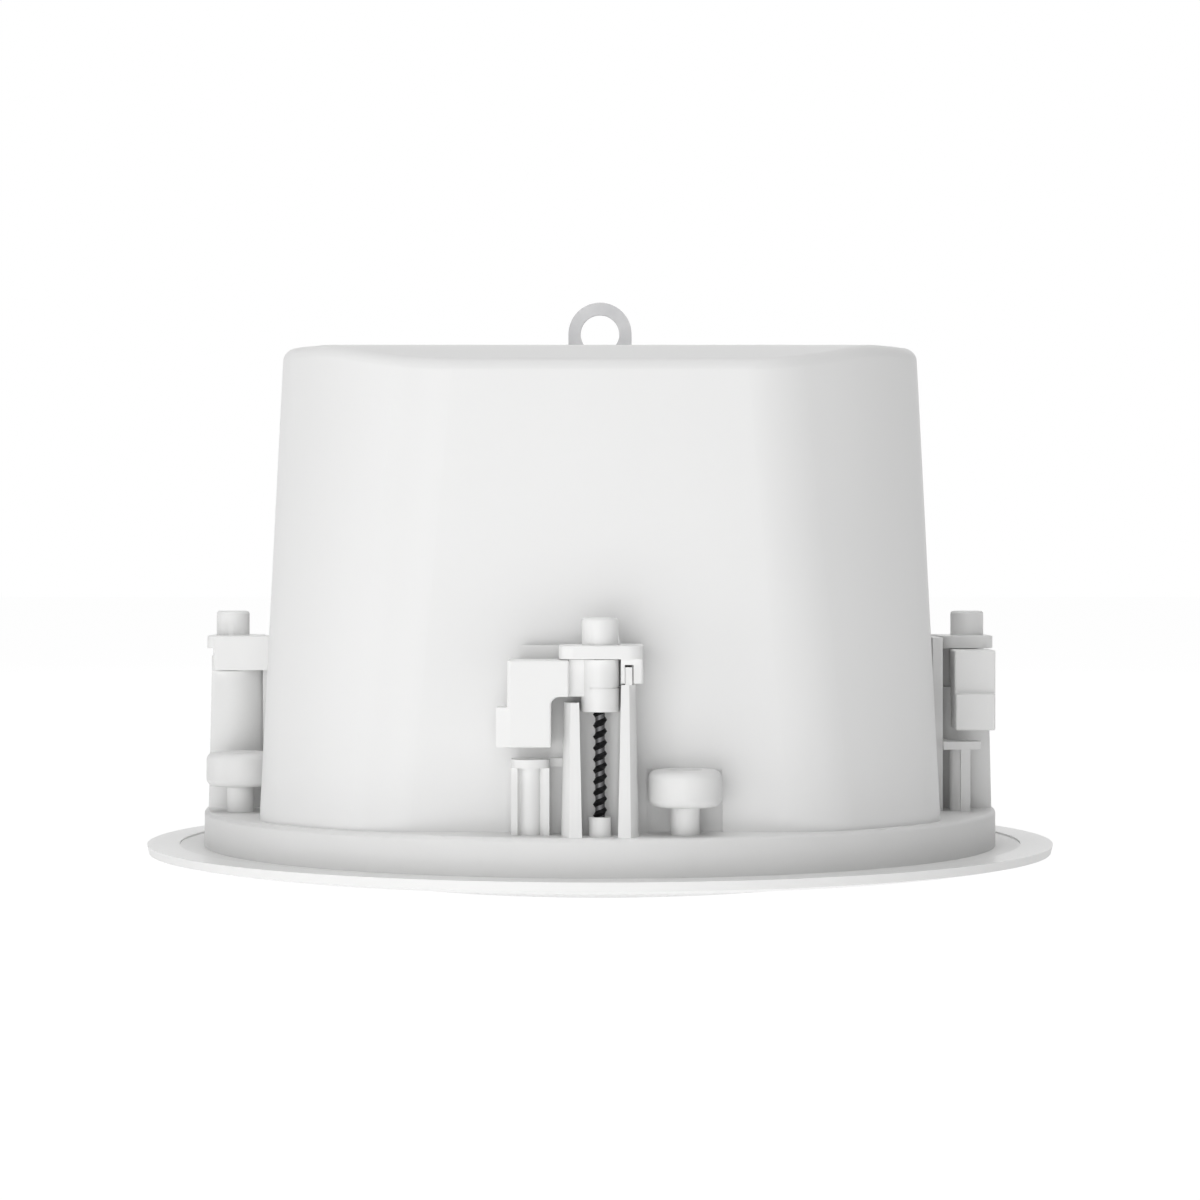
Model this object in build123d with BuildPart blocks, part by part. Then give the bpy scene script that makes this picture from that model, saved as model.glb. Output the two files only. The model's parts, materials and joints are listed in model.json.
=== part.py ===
from build123d import *
import os
from math import cos, radians, sin, sqrt, tan

# In-ceiling speaker: a flanged bezel frame, a tapered back can, four swing-out clamps and one driver.
# Millimetres, +Z up into the ceiling void. The origin is the centre of the flange's seat, the plane
# that meets the ceiling: the collar and the can stand above it and the grille hangs below it.

# Clearances
running_clearance = 0.08   # a screw in the hole it turns in
seat_clearance = 0.05      # a screw, pin or plug in the hole that holds it
slide_clearance = 0.3      # moulded pieces that pass each other
face_clearance = 0.1       # flat faces that stay just apart

# Flange, collar and deck of the bezel frame
flange_radius = 118.0
flange_edge = 2.2          # thickness at the flange's edge
flange_edge_draft = 0.5
flange_crown = 1.9         # the front ring is this much deeper at the grille than at its edge
crown_share = 0.75         # of the crown, reached half-way in
seat_rim_width = 8.3       # flat rim that meets the ceiling
seat_relief = 0.5          # moulding relief between the rim and the collar
flange_width = 14.8        # outside the collar
collar_wall = 2.4
collar_round = 1.0         # on the collar's top edge
deck_height = 8.8          # top of the deck above the seat
deck_thickness = 2.4

# Grille, pressed into the collar from the room side
grille_sheet = 0.8
grille_rise = 9.4          # crown of the dome
grille_skirt = 4.2
grille_ledge = 0.9         # step in the collar that stops the skirt
grille_rings = 5
grille_hole_radius = 3.4

# Clamp guides, moulded on the deck around each screw
screw_inset = 6.8          # clamp screws inside the collar's outer face
guide_radius = 9.1         # at the deck
guide_bore = 4.2           # at the deck
guide_reach = 5.6          # how far the guide's edges stand outward of the screw, at the deck
guide_draft = 1.2          # degrees
boss_radius = 2.65
boss_height = 4.5
tongue_reach = 4.75
tongue_inner = 5.9
tongue_outer = 7.5
tongue_gap = 1.9           # tongue's top below the cap's plate
back_wall_start = -2.0     # left end of the tall wall that carries the cap
back_wall_front = -1.5
cap_seat_height = 41.6     # cap's plate above the deck

# Clamp arms
arm_front = 5.1            # outer face, outward of the screw
arm_back = 5.4
arm_margin = 0.4           # a parked arm may stand this far outside the collar
arm_reach = 21.65
arm_inner = 7.25           # inner edge of the block
foot_inner = 11.4          # inner edge of the foot
block_height = 8.6
foot_drop = 11.8
notch_round = 2.0
arm_round = 0.5
lug_reach = 2.65
lug_height = 9.3
sleeve_radius = 4.45
sleeve_length = 12.2
seam_height = 5.5          # groove round the sleeve, above its lower end
seam_width = 0.3
web_front = 2.4
web_back = 3.0
web_clearance = 1.4        # under the web, above the guide's left edge
arm_play = 0.2             # below the cap's plate

# Clamp screws
screw_radius = 1.7
screw_head_radius = 3.0
screw_head_height = 2.2
screw_head_round = 0.7
screw_recess = 1.3
recess_width = 0.8
screw_tip_depth = 7.2      # length held in the cap

# Clamp caps
plate_thickness = 3.25
plate_width = 19.8
plate_corner = 3.5
plate_round = 0.4
plate_reach = 6.0          # outward of the screw
dome_radius = 4.3
dome_height = 6.35
dome_round = 0.8
hook_drop = 5.7
hook_reach = 4.2
hook_thickness = 2.35
hook_round = 0.8
hook_web = 1.35            # under the plate, over the tongue's top
lip_thickness = 0.9
gusset_height = 2.6
gusset_reach = 0.6
gusset_thickness = 1.2

# Parking stands beside the guides
stand_offset = 16.4        # to the left of the screw
stand_wall = 2.55
stand_wall_gap = 2.8       # behind the parked arm
stand_wall_half = 2.3      # beyond the stand's middle
stand_wall_end = 4.0
stand_wall_drop = 0.3      # below the top of the cap's plate
shelf_radius = 4.5
shelf_reach = 1.85
shelf_thickness = 2.0
shelf_strip = 2.2
parking_gap = 3.1
post_radius = 2.45
post_back = 3.8
ear_half = 4.5             # outer faces of the ears beside the post
ear_gap = 0.5              # between the post and each ear
ear_web = 0.8              # joins the ears to the post

# Bumpers
bumper_offset = 20.1       # to the right of the screw
bumper_radius = 8.7
bumper_head = 8.7
bumper_round = 2.0
bumper_stem_radius = 3.4
bumper_stem = 6.6
bumper_dish_radius = 4.2
bumper_dish = 0.8
bumper_pin_radius = 1.8
bumper_pin = 9.0

# Back can
can_height = 117.7         # above the deck
can_wall = 2.5
can_gap = 0.85             # between the can's flats and the stands' walls
can_bulge = 15.2           # at the deck, the round part stands this far outside the flats
flat_draft = 2.45          # degrees
round_draft = 4.9          # degrees
can_blend = 25.0           # radius between flats and round
shoulder_inset = 26.3      # from the flats in to each shoulder's ridge
shoulder_angle = 13.0      # degrees
ridge_round = 40.0
can_edge_round = 3.2
pocket_clearance = 0.3     # beside and behind a bumper
pocket_drop = 0.5          # pocket's top below the top of the bumper's rounded head
can_boss_radius = 4.0
can_boss_height = 16.0
can_boss_overlap = 0.4     # into the can's wall

# Self-tapping screws that hold the can and the driver
tapping_radius = 1.5
tapping_length = 10.0
tapping_head_radius = 3.2
tapping_head_height = 2.0
tapping_hole = 1.9         # clearance hole
screw_spacing = 7.7        # between a can screw's head and the driver's flange
driver_seat = 11.5         # width of the driver's flange on the deck
driver_boss_radius = 3.3
driver_boss_height = 7.5

# Safety eye
eye_sheet = 2.0
eye_radius = 8.3
eye_hole_radius = 5.05
eye_rise = 6.1             # eye's centre above the can
eye_foot = 24.0
eye_rivet_radius = 1.6
eye_rivet_head = 3.0
eye_rivet_head_height = 1.2
eye_rivet_spacing = 9.0

# Driver
driver_sheet = 1.2
driver_gasket_thickness = 1.0
basket_depth = 42.0
basket_taper = 4.5         # from the mouth in to the throat
basket_throat_depth = 12.0
basket_base = 35.0
base_taper = 2.0           # from the spider's seat in to the base
base_height = 10.8         # from the spider's seat back to the base
spider_seat_width = 7.0
basket_windows = 6
window_angle = 34.0        # degrees
window_margin = 3.0
mouth_clearance = 1.5      # basket inside the baffle's opening
plate_radius = 42.0
plate_depth = 5.0
magnet_overhang = 3.0      # outside the plates
magnet_bore = 24.0
magnet_depth = 15.0
yoke_depth = 5.0
former_radius = 12.75
former_wall = 0.3
former_length = 26.0
coil_wall = 0.5
coil_length = 8.0
coil_gap = 0.5             # each side of the moving coil
pole_vent_radius = 4.0
cone_sheet = 0.8
cone_lip = 3.0
cone_neck = 3.0
surround_sheet = 0.8
surround_roll = 9.5
spider_sheet = 0.6
spider_waves = 4
spider_wave_height = 1.2
spider_inset = 1.0         # its rim inside the corner of its seat
dust_cap_radius = 17.0
dust_cap_rise = 5.0
dust_cap_sheet = 0.5

# Terminals and cable entry at the rear
gland_height = 91.0        # above the deck
gland_hole_radius = 3.5
gland_stub_radius = 5.9
gland_stub_end = 1.0       # beyond its nut
gland_hex = 14.0           # across flats
gland_hex_depth = 5.0
gland_nose_radius = 5.6
gland_nose = 7.0
gland_nose_round = 1.2
gland_nut_hex = 15.0
gland_nut_depth = 3.0
terminal_length = 22.0
terminal_width = 14.0
terminal_height = 14.0
terminal_offset = 42.0     # towards the rear
terminal_hole_radius = 2.0
terminal_screw_radius = 1.75

# Heights worked out from the sizes above
deck_under = deck_height - deck_thickness
front_depth = flange_edge + flange_crown
cap_seat = deck_height + cap_seat_height
arm_top = cap_seat - arm_play
block_bottom = arm_top - block_height
foot_bottom = block_bottom - foot_drop
sleeve_bottom = arm_top - sleeve_length
guide_left_top = block_bottom - web_clearance
guide_right_top = cap_seat - hook_drop - slide_clearance
shelf_top = foot_bottom - parking_gap
plate_top = cap_seat + plate_thickness
bumper_bottom = deck_height + bumper_stem
bumper_top = bumper_bottom + bumper_head
can_top = deck_height + can_height
grille_edge = grille_sheet - front_depth
ledge_height = grille_edge + grille_skirt

# Radii and offsets worked out from the sizes above
collar_radius = flange_radius - flange_width
collar_bore = collar_radius - collar_wall
screw_circle = collar_radius - screw_inset
rim_inner = flange_radius - seat_rim_width
stand_wall_face = arm_back + stand_wall_gap
can_flat = screw_circle - stand_wall_face - stand_wall - can_gap
can_round = can_flat + can_bulge
can_ridge = can_flat - shoulder_inset
can_screw_circle = can_round - can_wall - can_boss_radius + can_boss_overlap
driver_flange = can_screw_circle - tapping_head_radius - screw_spacing
baffle_radius = driver_flange - driver_seat
driver_screw_circle = (driver_flange + baffle_radius) / 2
bumper_circle = sqrt((collar_radius - bumper_radius) ** 2 - bumper_offset**2)
bumper_radial = bumper_circle - screw_circle
pocket_face = bumper_circle - bumper_radius - pocket_clearance
basket_mouth = baffle_radius - mouth_clearance
basket_throat = basket_mouth - basket_taper
spider_seat_inner = basket_base + base_taper
spider_seat_outer = spider_seat_inner + spider_seat_width
spider_seat_depth = basket_depth - base_height
magnet_radius = plate_radius + magnet_overhang
roll_outer = basket_mouth - surround_sheet
cone_radius = roll_outer - surround_roll
surround_outer = driver_screw_circle - tapping_head_radius - face_clearance
hook_inner = tongue_outer + slide_clearance
plate_middle = hook_inner + hook_thickness - plate_width / 2

clamp_angles = {"front": -90, "right": 0, "rear": 90, "left": 180}

os.makedirs("parts", exist_ok=True)


def station(angle):
    """Plane on the seat at a clamp's screw: x points outward, y to the right as seen from outside."""
    outward = Vector(cos(radians(angle)), sin(radians(angle)), 0)
    return Plane(origin=outward * screw_circle, x_dir=outward, z_dir=(0, 0, 1))


def bar(x_from, x_to, y_from, y_to, mode=Mode.ADD):
    """Rectangle between two limits on each axis of the open sketch."""
    with Locations((x_from, y_from)):
        Rectangle(x_to - x_from, y_to - y_from, align=(Align.MIN, Align.MIN), mode=mode)


def save(piece, name):
    """Label a finished piece and write it as one STEP file."""
    piece.label = name
    export_step(piece, f"parts/{name}.step")


def guide_section(plane):
    """Half-tube that stands round a clamp screw, with straight lips and open outward."""
    with BuildSketch(plane) as section:
        Circle(guide_radius)
        Circle(guide_bore, mode=Mode.SUBTRACT)
        bar(0, guide_radius, -guide_bore, guide_bore, mode=Mode.SUBTRACT)
        bar(guide_reach, guide_radius, -guide_radius, guide_radius, mode=Mode.SUBTRACT)
    return section.sketch


# Bezel frame: one moulding, turned from a single section, with the clamp stations standing on its deck
with BuildPart() as bezel_frame:
    with BuildSketch(Plane.XZ):
        with BuildLine():
            front_edge = (flange_radius - flange_edge_draft, -flange_edge)
            front_inner = (collar_bore, -front_depth)
            front_middle = ((front_edge[0] + front_inner[0]) / 2, -flange_edge - crown_share * flange_crown)
            Polyline(
                front_inner,
                (collar_bore, ledge_height),
                (collar_bore - grille_ledge, ledge_height),
                (collar_bore - grille_ledge, deck_under),
                (baffle_radius, deck_under),
                (baffle_radius, deck_height),
                (collar_radius, deck_height),
                (collar_radius, -seat_relief),
                (rim_inner, -seat_relief),
                (rim_inner, 0),
                (flange_radius, 0),
                front_edge,
            )
            ThreePointArc(front_edge, front_middle, front_inner)
        make_face()
    revolve(axis=Axis.Z)
    deck_circles = bezel_frame.edges().filter_by_position(Axis.Z, deck_height, deck_height)
    fillet(deck_circles.sort_by(SortBy.RADIUS)[-1], collar_round)

    for angle in clamp_angles.values():
        seat = station(angle)
        deck = seat.offset(deck_height)
        # Guide, cut down at the left for the arm's web and at the right for the cap's hook: what is
        # left standing at the rear carries the cap
        extrude(guide_section(deck), amount=cap_seat_height, taper=guide_draft)
        with BuildSketch(seat.offset(guide_left_top)):
            bar(-guide_radius, guide_reach, -guide_radius, back_wall_start)
        extrude(amount=cap_seat - guide_left_top, mode=Mode.SUBTRACT)
        with BuildSketch(seat.offset(guide_right_top)):
            bar(back_wall_front, guide_reach, 0, guide_radius)
            bar(-guide_radius, guide_reach, tongue_outer, guide_radius)
        extrude(amount=cap_seat - guide_right_top, mode=Mode.SUBTRACT)
        # Tongue that the cap's hook grips
        with BuildSketch(seat.offset(guide_right_top)):
            bar(back_wall_front, tongue_reach, tongue_inner, tongue_outer)
        extrude(amount=cap_seat - tongue_gap - guide_right_top)
        # Wall behind the parked arm
        with BuildSketch(deck):
            wall_left = -stand_offset - stand_wall_half
            bar(-stand_wall_face - stand_wall, -stand_wall_face, wall_left, stand_wall_end)
        extrude(amount=plate_top - stand_wall_drop - deck_height)
        # Parking shelf on a post with an ear each side
        with BuildSketch(seat.offset(shelf_top)):
            with Locations((shelf_reach - shelf_radius, -stand_offset)):
                Circle(shelf_radius)
            shelf_left = -stand_offset - shelf_radius
            bar(-stand_wall_face, shelf_reach - shelf_radius, shelf_left, shelf_left + 2 * shelf_radius)
            bar(-stand_wall_face, shelf_strip - stand_wall_face, -stand_offset, -guide_bore)
        extrude(amount=-shelf_thickness)
        with BuildSketch(deck):
            with Locations((-post_back, -stand_offset)):
                ears = (Align.MIN, Align.CENTER)
                Rectangle(post_radius, 2 * ear_half, align=ears)
                Rectangle(post_radius, 2 * (post_radius + ear_gap), align=ears, mode=Mode.SUBTRACT)
                Rectangle(ear_web, 2 * ear_half, align=ears)
                Circle(post_radius)
        extrude(amount=shelf_top - shelf_thickness - deck_height)
        # Boss round the screw, and the bumper's pin
        with BuildSketch(deck):
            Circle(boss_radius)
        extrude(amount=boss_height)
        with BuildSketch(deck):
            with Locations((bumper_radial, bumper_offset)):
                Circle(bumper_pin_radius)
        extrude(amount=bumper_pin)
        with BuildSketch(seat):
            Circle(screw_radius + running_clearance)
        extrude(amount=deck_height + boss_height, mode=Mode.SUBTRACT)

    # Bosses for the driver's screws and clearance holes for the can's screws
    with BuildSketch(Plane.XY.offset(deck_height)):
        with PolarLocations(driver_screw_circle, 4, start_angle=45):
            Circle(driver_boss_radius)
    extrude(amount=driver_boss_height)
    with BuildSketch(Plane.XY):
        with PolarLocations(driver_screw_circle, 4, start_angle=45):
            Circle(tapping_radius + seat_clearance)
    extrude(amount=deck_height + driver_boss_height, mode=Mode.SUBTRACT)
    with BuildSketch(Plane.XY):
        with PolarLocations(can_screw_circle, 4, start_angle=45):
            Circle(tapping_hole)
    extrude(amount=deck_height, mode=Mode.SUBTRACT)
save(bezel_frame.part, "bezel_frame")


def can_form(inset):
    """Tapered body of the can, inset from its outer skin: round with four flats and two shoulders."""
    top = can_top - inset
    with BuildPart() as form:
        for rise in (0, top - deck_height):
            with BuildSketch(Plane.XY.offset(deck_height + rise)) as ring:
                Circle(can_round - inset - rise * tan(radians(round_draft)))
                flats = 2 * (can_flat - inset - rise * tan(radians(flat_draft)))
                Rectangle(flats, flats, mode=Mode.INTERSECT)
                fillet(ring.vertices(), can_blend - inset)
        loft()
        shoulder_drop = (can_round - can_ridge) * tan(radians(shoulder_angle))
        with BuildSketch(Plane.YZ):
            with BuildLine():
                Polyline(
                    (can_ridge, top),
                    (can_round, top - shoulder_drop),
                    (can_round, top),
                    close=True,
                )
            make_face()
            mirror(about=Plane.YZ)
        extrude(amount=can_round, both=True, mode=Mode.SUBTRACT)
        fillet(form.edges().filter_by(Axis.X).group_by(Axis.Z)[-1], ridge_round)
        crown = form.faces().filter_by(lambda face: face.normal_at().Z > 0.5)
        walls = form.faces().filter_by(lambda face: abs(face.normal_at().Z) < 0.5)
        rim = [edge for edge in crown.edges() if any(edge.is_same(other) for other in walls.edges())]
        fillet(rim, can_edge_round - inset)
    return form.part


# Back can: a thin tapered shell that stands on the deck, with screw bosses in its round corners
gland_plane = Plane(
    origin=(0, can_flat - gland_height * tan(radians(flat_draft)), deck_height + gland_height),
    x_dir=(-1, 0, 0),
    z_dir=(0, cos(radians(flat_draft)), sin(radians(flat_draft))),
)
with BuildPart() as back_can:
    add(can_form(0))
    add(can_form(can_wall), mode=Mode.SUBTRACT)
    # Pockets that clear the bumpers, with the wall carried round behind them
    pocket_half = bumper_radius + pocket_clearance
    pocket_depth = screw_circle - pocket_face
    pad_half = pocket_half + can_wall
    pad_face = screw_circle - can_flat + can_wall - seat_clearance
    pocket_top = bumper_top - pocket_drop
    for angle in clamp_angles.values():
        deck = station(angle).offset(deck_height)
        with BuildSketch(deck):
            bar(-pocket_depth - can_wall, -pad_face, bumper_offset - pad_half, bumper_offset + pad_half)
        extrude(amount=pocket_top + can_wall - deck_height)
        with BuildSketch(deck):
            bar(-pocket_depth, 0, bumper_offset - pocket_half, bumper_offset + pocket_half)
        extrude(amount=pocket_top - deck_height, mode=Mode.SUBTRACT)
    with BuildSketch(Plane.XY.offset(deck_height)):
        with PolarLocations(can_screw_circle, 4, start_angle=45):
            Circle(can_boss_radius)
    extrude(amount=can_boss_height)
    with BuildSketch(Plane.XY.offset(deck_height)):
        with PolarLocations(can_screw_circle, 4, start_angle=45):
            Circle(tapping_radius + seat_clearance)
    extrude(amount=tapping_length - deck_thickness, mode=Mode.SUBTRACT)
    # Slot and rivet holes for the safety eye, hole for the cable gland
    with BuildSketch(Plane.XY.offset(can_top)):
        Rectangle(2 * (eye_radius + slide_clearance), eye_sheet + 2 * slide_clearance)
        with Locations((0, eye_rivet_spacing), (0, 2 * eye_rivet_spacing)):
            Circle(eye_rivet_radius + seat_clearance)
    extrude(amount=-can_wall, mode=Mode.SUBTRACT)
    with BuildSketch(gland_plane):
        Circle(gland_stub_radius + seat_clearance)
    extrude(amount=-2 * can_wall, mode=Mode.SUBTRACT)
save(back_can.part, "back_can")

with BuildPart() as can_screws:
    with BuildSketch(Plane.XY.offset(deck_under - face_clearance)):
        with PolarLocations(can_screw_circle, 4, start_angle=45):
            Circle(tapping_head_radius)
    extrude(amount=-tapping_head_height)
    with BuildSketch(Plane.XY.offset(deck_under - face_clearance)):
        with PolarLocations(can_screw_circle, 4, start_angle=45):
            Circle(tapping_radius)
    extrude(amount=tapping_length)
save(can_screws.part, "can_screws")

# Safety eye: a bent steel tab that comes up through the can, riveted under its top
eye_foot_top = can_top - can_wall
with BuildPart() as safety_eye:
    with BuildSketch(Plane.XZ):
        bar(-eye_radius, eye_radius, eye_foot_top - eye_sheet, can_top + eye_rise)
        with Locations((0, can_top + eye_rise)):
            Circle(eye_radius)
            Circle(eye_hole_radius, mode=Mode.SUBTRACT)
    extrude(amount=eye_sheet / 2, both=True)
    with BuildSketch(Plane.XY.offset(eye_foot_top)):
        bar(-eye_radius, eye_radius, -eye_sheet / 2, eye_foot)
        with Locations((0, eye_rivet_spacing), (0, 2 * eye_rivet_spacing)):
            Circle(eye_rivet_radius + seat_clearance, mode=Mode.SUBTRACT)
    extrude(amount=-eye_sheet)
save(safety_eye.part, "safety_eye")

with BuildPart() as eye_rivets:
    with BuildSketch(Plane.XY.offset(can_top)):
        with Locations((0, eye_rivet_spacing), (0, 2 * eye_rivet_spacing)):
            Circle(eye_rivet_head)
    extrude(amount=eye_rivet_head_height)
    with BuildSketch(Plane.XY.offset(eye_foot_top - eye_sheet)):
        with Locations((0, eye_rivet_spacing), (0, 2 * eye_rivet_spacing)):
            Circle(eye_rivet_head)
    extrude(amount=-eye_rivet_head_height)
    with BuildSketch(Plane.XY.offset(eye_foot_top - eye_sheet)):
        with Locations((0, eye_rivet_spacing), (0, 2 * eye_rivet_spacing)):
            Circle(eye_rivet_radius)
    extrude(amount=eye_sheet + can_wall)
save(eye_rivets.part, "eye_rivets")


def clamp_arm(seat):
    """Swing-out arm, parked to the left of its screw: sleeve, web, block, foot and lug in one moulding."""
    face = Plane(origin=seat.origin + seat.x_dir * arm_front, x_dir=seat.y_dir, z_dir=seat.x_dir)
    with BuildPart() as arm:
        with BuildSketch(face) as outline:
            bar(-arm_reach, -arm_inner, block_bottom, arm_top)
            bar(-arm_reach, -foot_inner, foot_bottom, block_bottom)
            notch = outline.vertices().sort_by_distance((-foot_inner, block_bottom))[0]
            fillet(notch, notch_round)
            bar(-arm_reach - lug_reach, -arm_reach, foot_bottom, foot_bottom + lug_height)
        extrude(amount=-arm_front - arm_back)
        fillet(arm.edges(), arm_round)
        with BuildSketch(seat.offset(block_bottom)):
            bar(-web_back, web_front, -arm_inner, 0)
        extrude(amount=block_height)
        with BuildSketch(seat.offset(sleeve_bottom)):
            Circle(sleeve_radius)
        extrude(amount=sleeve_length)
        with BuildSketch(seat.offset(sleeve_bottom + seam_height)):
            Circle(sleeve_radius)
            Circle(sleeve_radius - seam_width, mode=Mode.SUBTRACT)
            bar(-sleeve_radius, sleeve_radius, -sleeve_radius, -web_front, mode=Mode.SUBTRACT)
        extrude(amount=seam_width, mode=Mode.SUBTRACT)
        with BuildSketch(seat.offset(sleeve_bottom)):
            Circle(screw_radius + running_clearance)
        extrude(amount=sleeve_length, mode=Mode.SUBTRACT)
        # The parked arm passes through the ceiling's cut-out, so its ends follow the collar's circle
        with BuildSketch(Plane.XY):
            Circle(collar_radius + arm_margin)
        extrude(amount=arm_top, mode=Mode.INTERSECT)
    return arm.part


def clamp_screw(seat):
    """Long screw, driven from the room side, with a cross recess in its pan head."""
    head_top = deck_under - face_clearance
    with BuildPart() as screw:
        with BuildSketch(seat.offset(head_top)):
            Circle(screw_head_radius)
        extrude(amount=-screw_head_height)
        fillet(screw.edges().group_by(Axis.Z)[0], screw_head_round)
        with BuildSketch(seat.offset(head_top - screw_head_height)):
            Rectangle(screw_head_radius, recess_width)
            Rectangle(recess_width, screw_head_radius)
        extrude(amount=screw_recess, mode=Mode.SUBTRACT)
        with BuildSketch(seat.offset(head_top)):
            Circle(screw_radius)
        extrude(amount=cap_seat + screw_tip_depth - head_top)
    return screw.part


def clamp_cap(seat):
    """Cap that closes a guide: a plate with a dome for the screw's tip and a hook over the tongue."""
    plate_right = plate_middle + plate_width / 2
    with BuildPart() as cap:
        with BuildSketch(seat.offset(cap_seat)):
            plate_back = slide_clearance - stand_wall_face
            with Locations(((plate_reach + plate_back) / 2, plate_middle)):
                RectangleRounded(plate_reach - plate_back, plate_width, plate_corner)
            bar(-stand_wall_face - stand_wall, 0, stand_wall_end + slide_clearance, plate_right)
        extrude(amount=plate_thickness)
        fillet(cap.edges().group_by(Axis.Z)[-1], plate_round)
        with BuildSketch(seat.offset(plate_top)):
            Circle(dome_radius)
        extrude(amount=dome_height)
        fillet(cap.edges().group_by(Axis.Z)[-1], dome_round)
        # Gusset at the dome's foot
        gusset_plane = Plane(origin=seat.origin, x_dir=seat.y_dir, z_dir=seat.x_dir)
        with BuildSketch(gusset_plane.offset(-gusset_thickness / 2)):
            with BuildLine():
                Polyline(
                    (0, plate_top),
                    (dome_radius + gusset_reach, plate_top),
                    (dome_radius, plate_top + gusset_height),
                    (0, plate_top + gusset_height),
                    close=True,
                )
            make_face()
        extrude(amount=gusset_thickness)
        # Hook outside the tongue, thin lip inside it and a web over its top
        lip_inner = tongue_inner - face_clearance - lip_thickness
        lip_back = back_wall_front + slide_clearance
        with BuildSketch(seat.offset(cap_seat)) as hook:
            bar(-stand_wall_face - stand_wall, hook_reach, hook_inner, plate_right)
            fillet(hook.vertices().sort_by_distance((hook_reach, plate_right))[0], hook_round)
            bar(lip_back, hook_reach, lip_inner, lip_inner + lip_thickness)
        extrude(amount=-hook_drop)
        with BuildSketch(seat.offset(cap_seat)):
            bar(lip_back, hook_reach, lip_inner, hook_inner)
        extrude(amount=-hook_web)
        with BuildSketch(seat.offset(cap_seat)):
            Circle(screw_radius + running_clearance)
        extrude(amount=screw_tip_depth + face_clearance, mode=Mode.SUBTRACT)
    return cap.part


def bumper(seat):
    """Mushroom bumper pressed on a pin of the frame, with a shallow dish in its head."""
    with BuildPart() as mushroom:
        with BuildSketch(seat.offset(bumper_bottom)):
            with Locations((bumper_radial, bumper_offset)):
                Circle(bumper_radius)
        extrude(amount=bumper_head)
        fillet(mushroom.edges().filter_by(GeomType.CIRCLE), bumper_round)
        with BuildSketch(seat.offset(bumper_top)):
            with Locations((bumper_radial, bumper_offset)):
                Circle(bumper_dish_radius)
        extrude(amount=-bumper_dish, taper=45, mode=Mode.SUBTRACT)
        with BuildSketch(seat.offset(deck_height)):
            with Locations((bumper_radial, bumper_offset)):
                Circle(bumper_stem_radius)
        extrude(amount=bumper_stem)
        with BuildSketch(seat.offset(deck_height)):
            with Locations((bumper_radial, bumper_offset)):
                Circle(bumper_pin_radius + seat_clearance)
        extrude(amount=bumper_pin + seat_clearance, mode=Mode.SUBTRACT)
    return mushroom.part


for side, angle in clamp_angles.items():
    save(clamp_arm(station(angle)), f"clamp_arm_{side}")
    save(clamp_screw(station(angle)), f"clamp_screw_{side}")
    save(clamp_cap(station(angle)), f"clamp_cap_{side}")
    save(bumper(station(angle)), f"bumper_{side}")


# Grille: a domed steel pan with a skirt that presses into the collar
grille_radius = collar_bore - seat_clearance
grille_apex = grille_edge - grille_rise
with BuildPart() as grille:
    with BuildSketch(Plane.XZ):
        with BuildLine():
            TangentArc((0, grille_apex), (grille_radius, grille_edge), tangent=(1, 0))
            inner_edge = (grille_radius - grille_sheet, grille_edge + grille_sheet)
            Polyline((grille_radius, grille_edge), (grille_radius, ledge_height),
                     (grille_radius - grille_sheet, ledge_height), inner_edge)
            TangentArc((0, grille_apex + grille_sheet), inner_edge, tangent=(1, 0))
            Line((0, grille_apex + grille_sheet), (0, grille_apex))
        make_face()
    revolve(axis=Axis.Z)
    ring_pitch = grille_radius / (grille_rings + 1)
    with BuildSketch(Plane.XY.offset(grille_apex)):
        RegularPolygon(grille_hole_radius, 6)
        for ring in range(1, grille_rings + 1):
            with PolarLocations(ring * ring_pitch, 6 * ring):
                RegularPolygon(grille_hole_radius, 6)
    extrude(amount=grille_rise + 2 * grille_sheet, mode=Mode.SUBTRACT)
save(grille.part, "grille")


def pulled_in(end, neighbour, amount):
    """End of a path, moved towards the next point on it."""
    return Vector(end) + (Vector(neighbour) - Vector(end)).normalized() * amount


def thin_wall(points, thickness):
    """Thin wall turned about the speaker's axis: a path in the XZ plane, thickened both ways."""
    half = thickness / 2
    start = pulled_in(points[0], points[1], half)
    stop = pulled_in(points[-1], points[-2], half)
    with BuildPart() as wall:
        with BuildSketch(Plane.XZ):
            with BuildLine():
                Polyline(start, *points[1:-1], stop)
                offset(amount=half, kind=Kind.INTERSECTION, side=Side.BOTH, mode=Mode.REPLACE)
            make_face()
        revolve(axis=Axis.Z)
    return wall.part


def turned_ring(inner, outer, bottom, top):
    """Plain ring about the speaker's axis."""
    with BuildPart() as ring:
        with BuildSketch(Plane.XY.offset(bottom)):
            Circle(outer)
            Circle(inner, mode=Mode.SUBTRACT)
        extrude(amount=top - bottom)
    return ring.part


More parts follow.
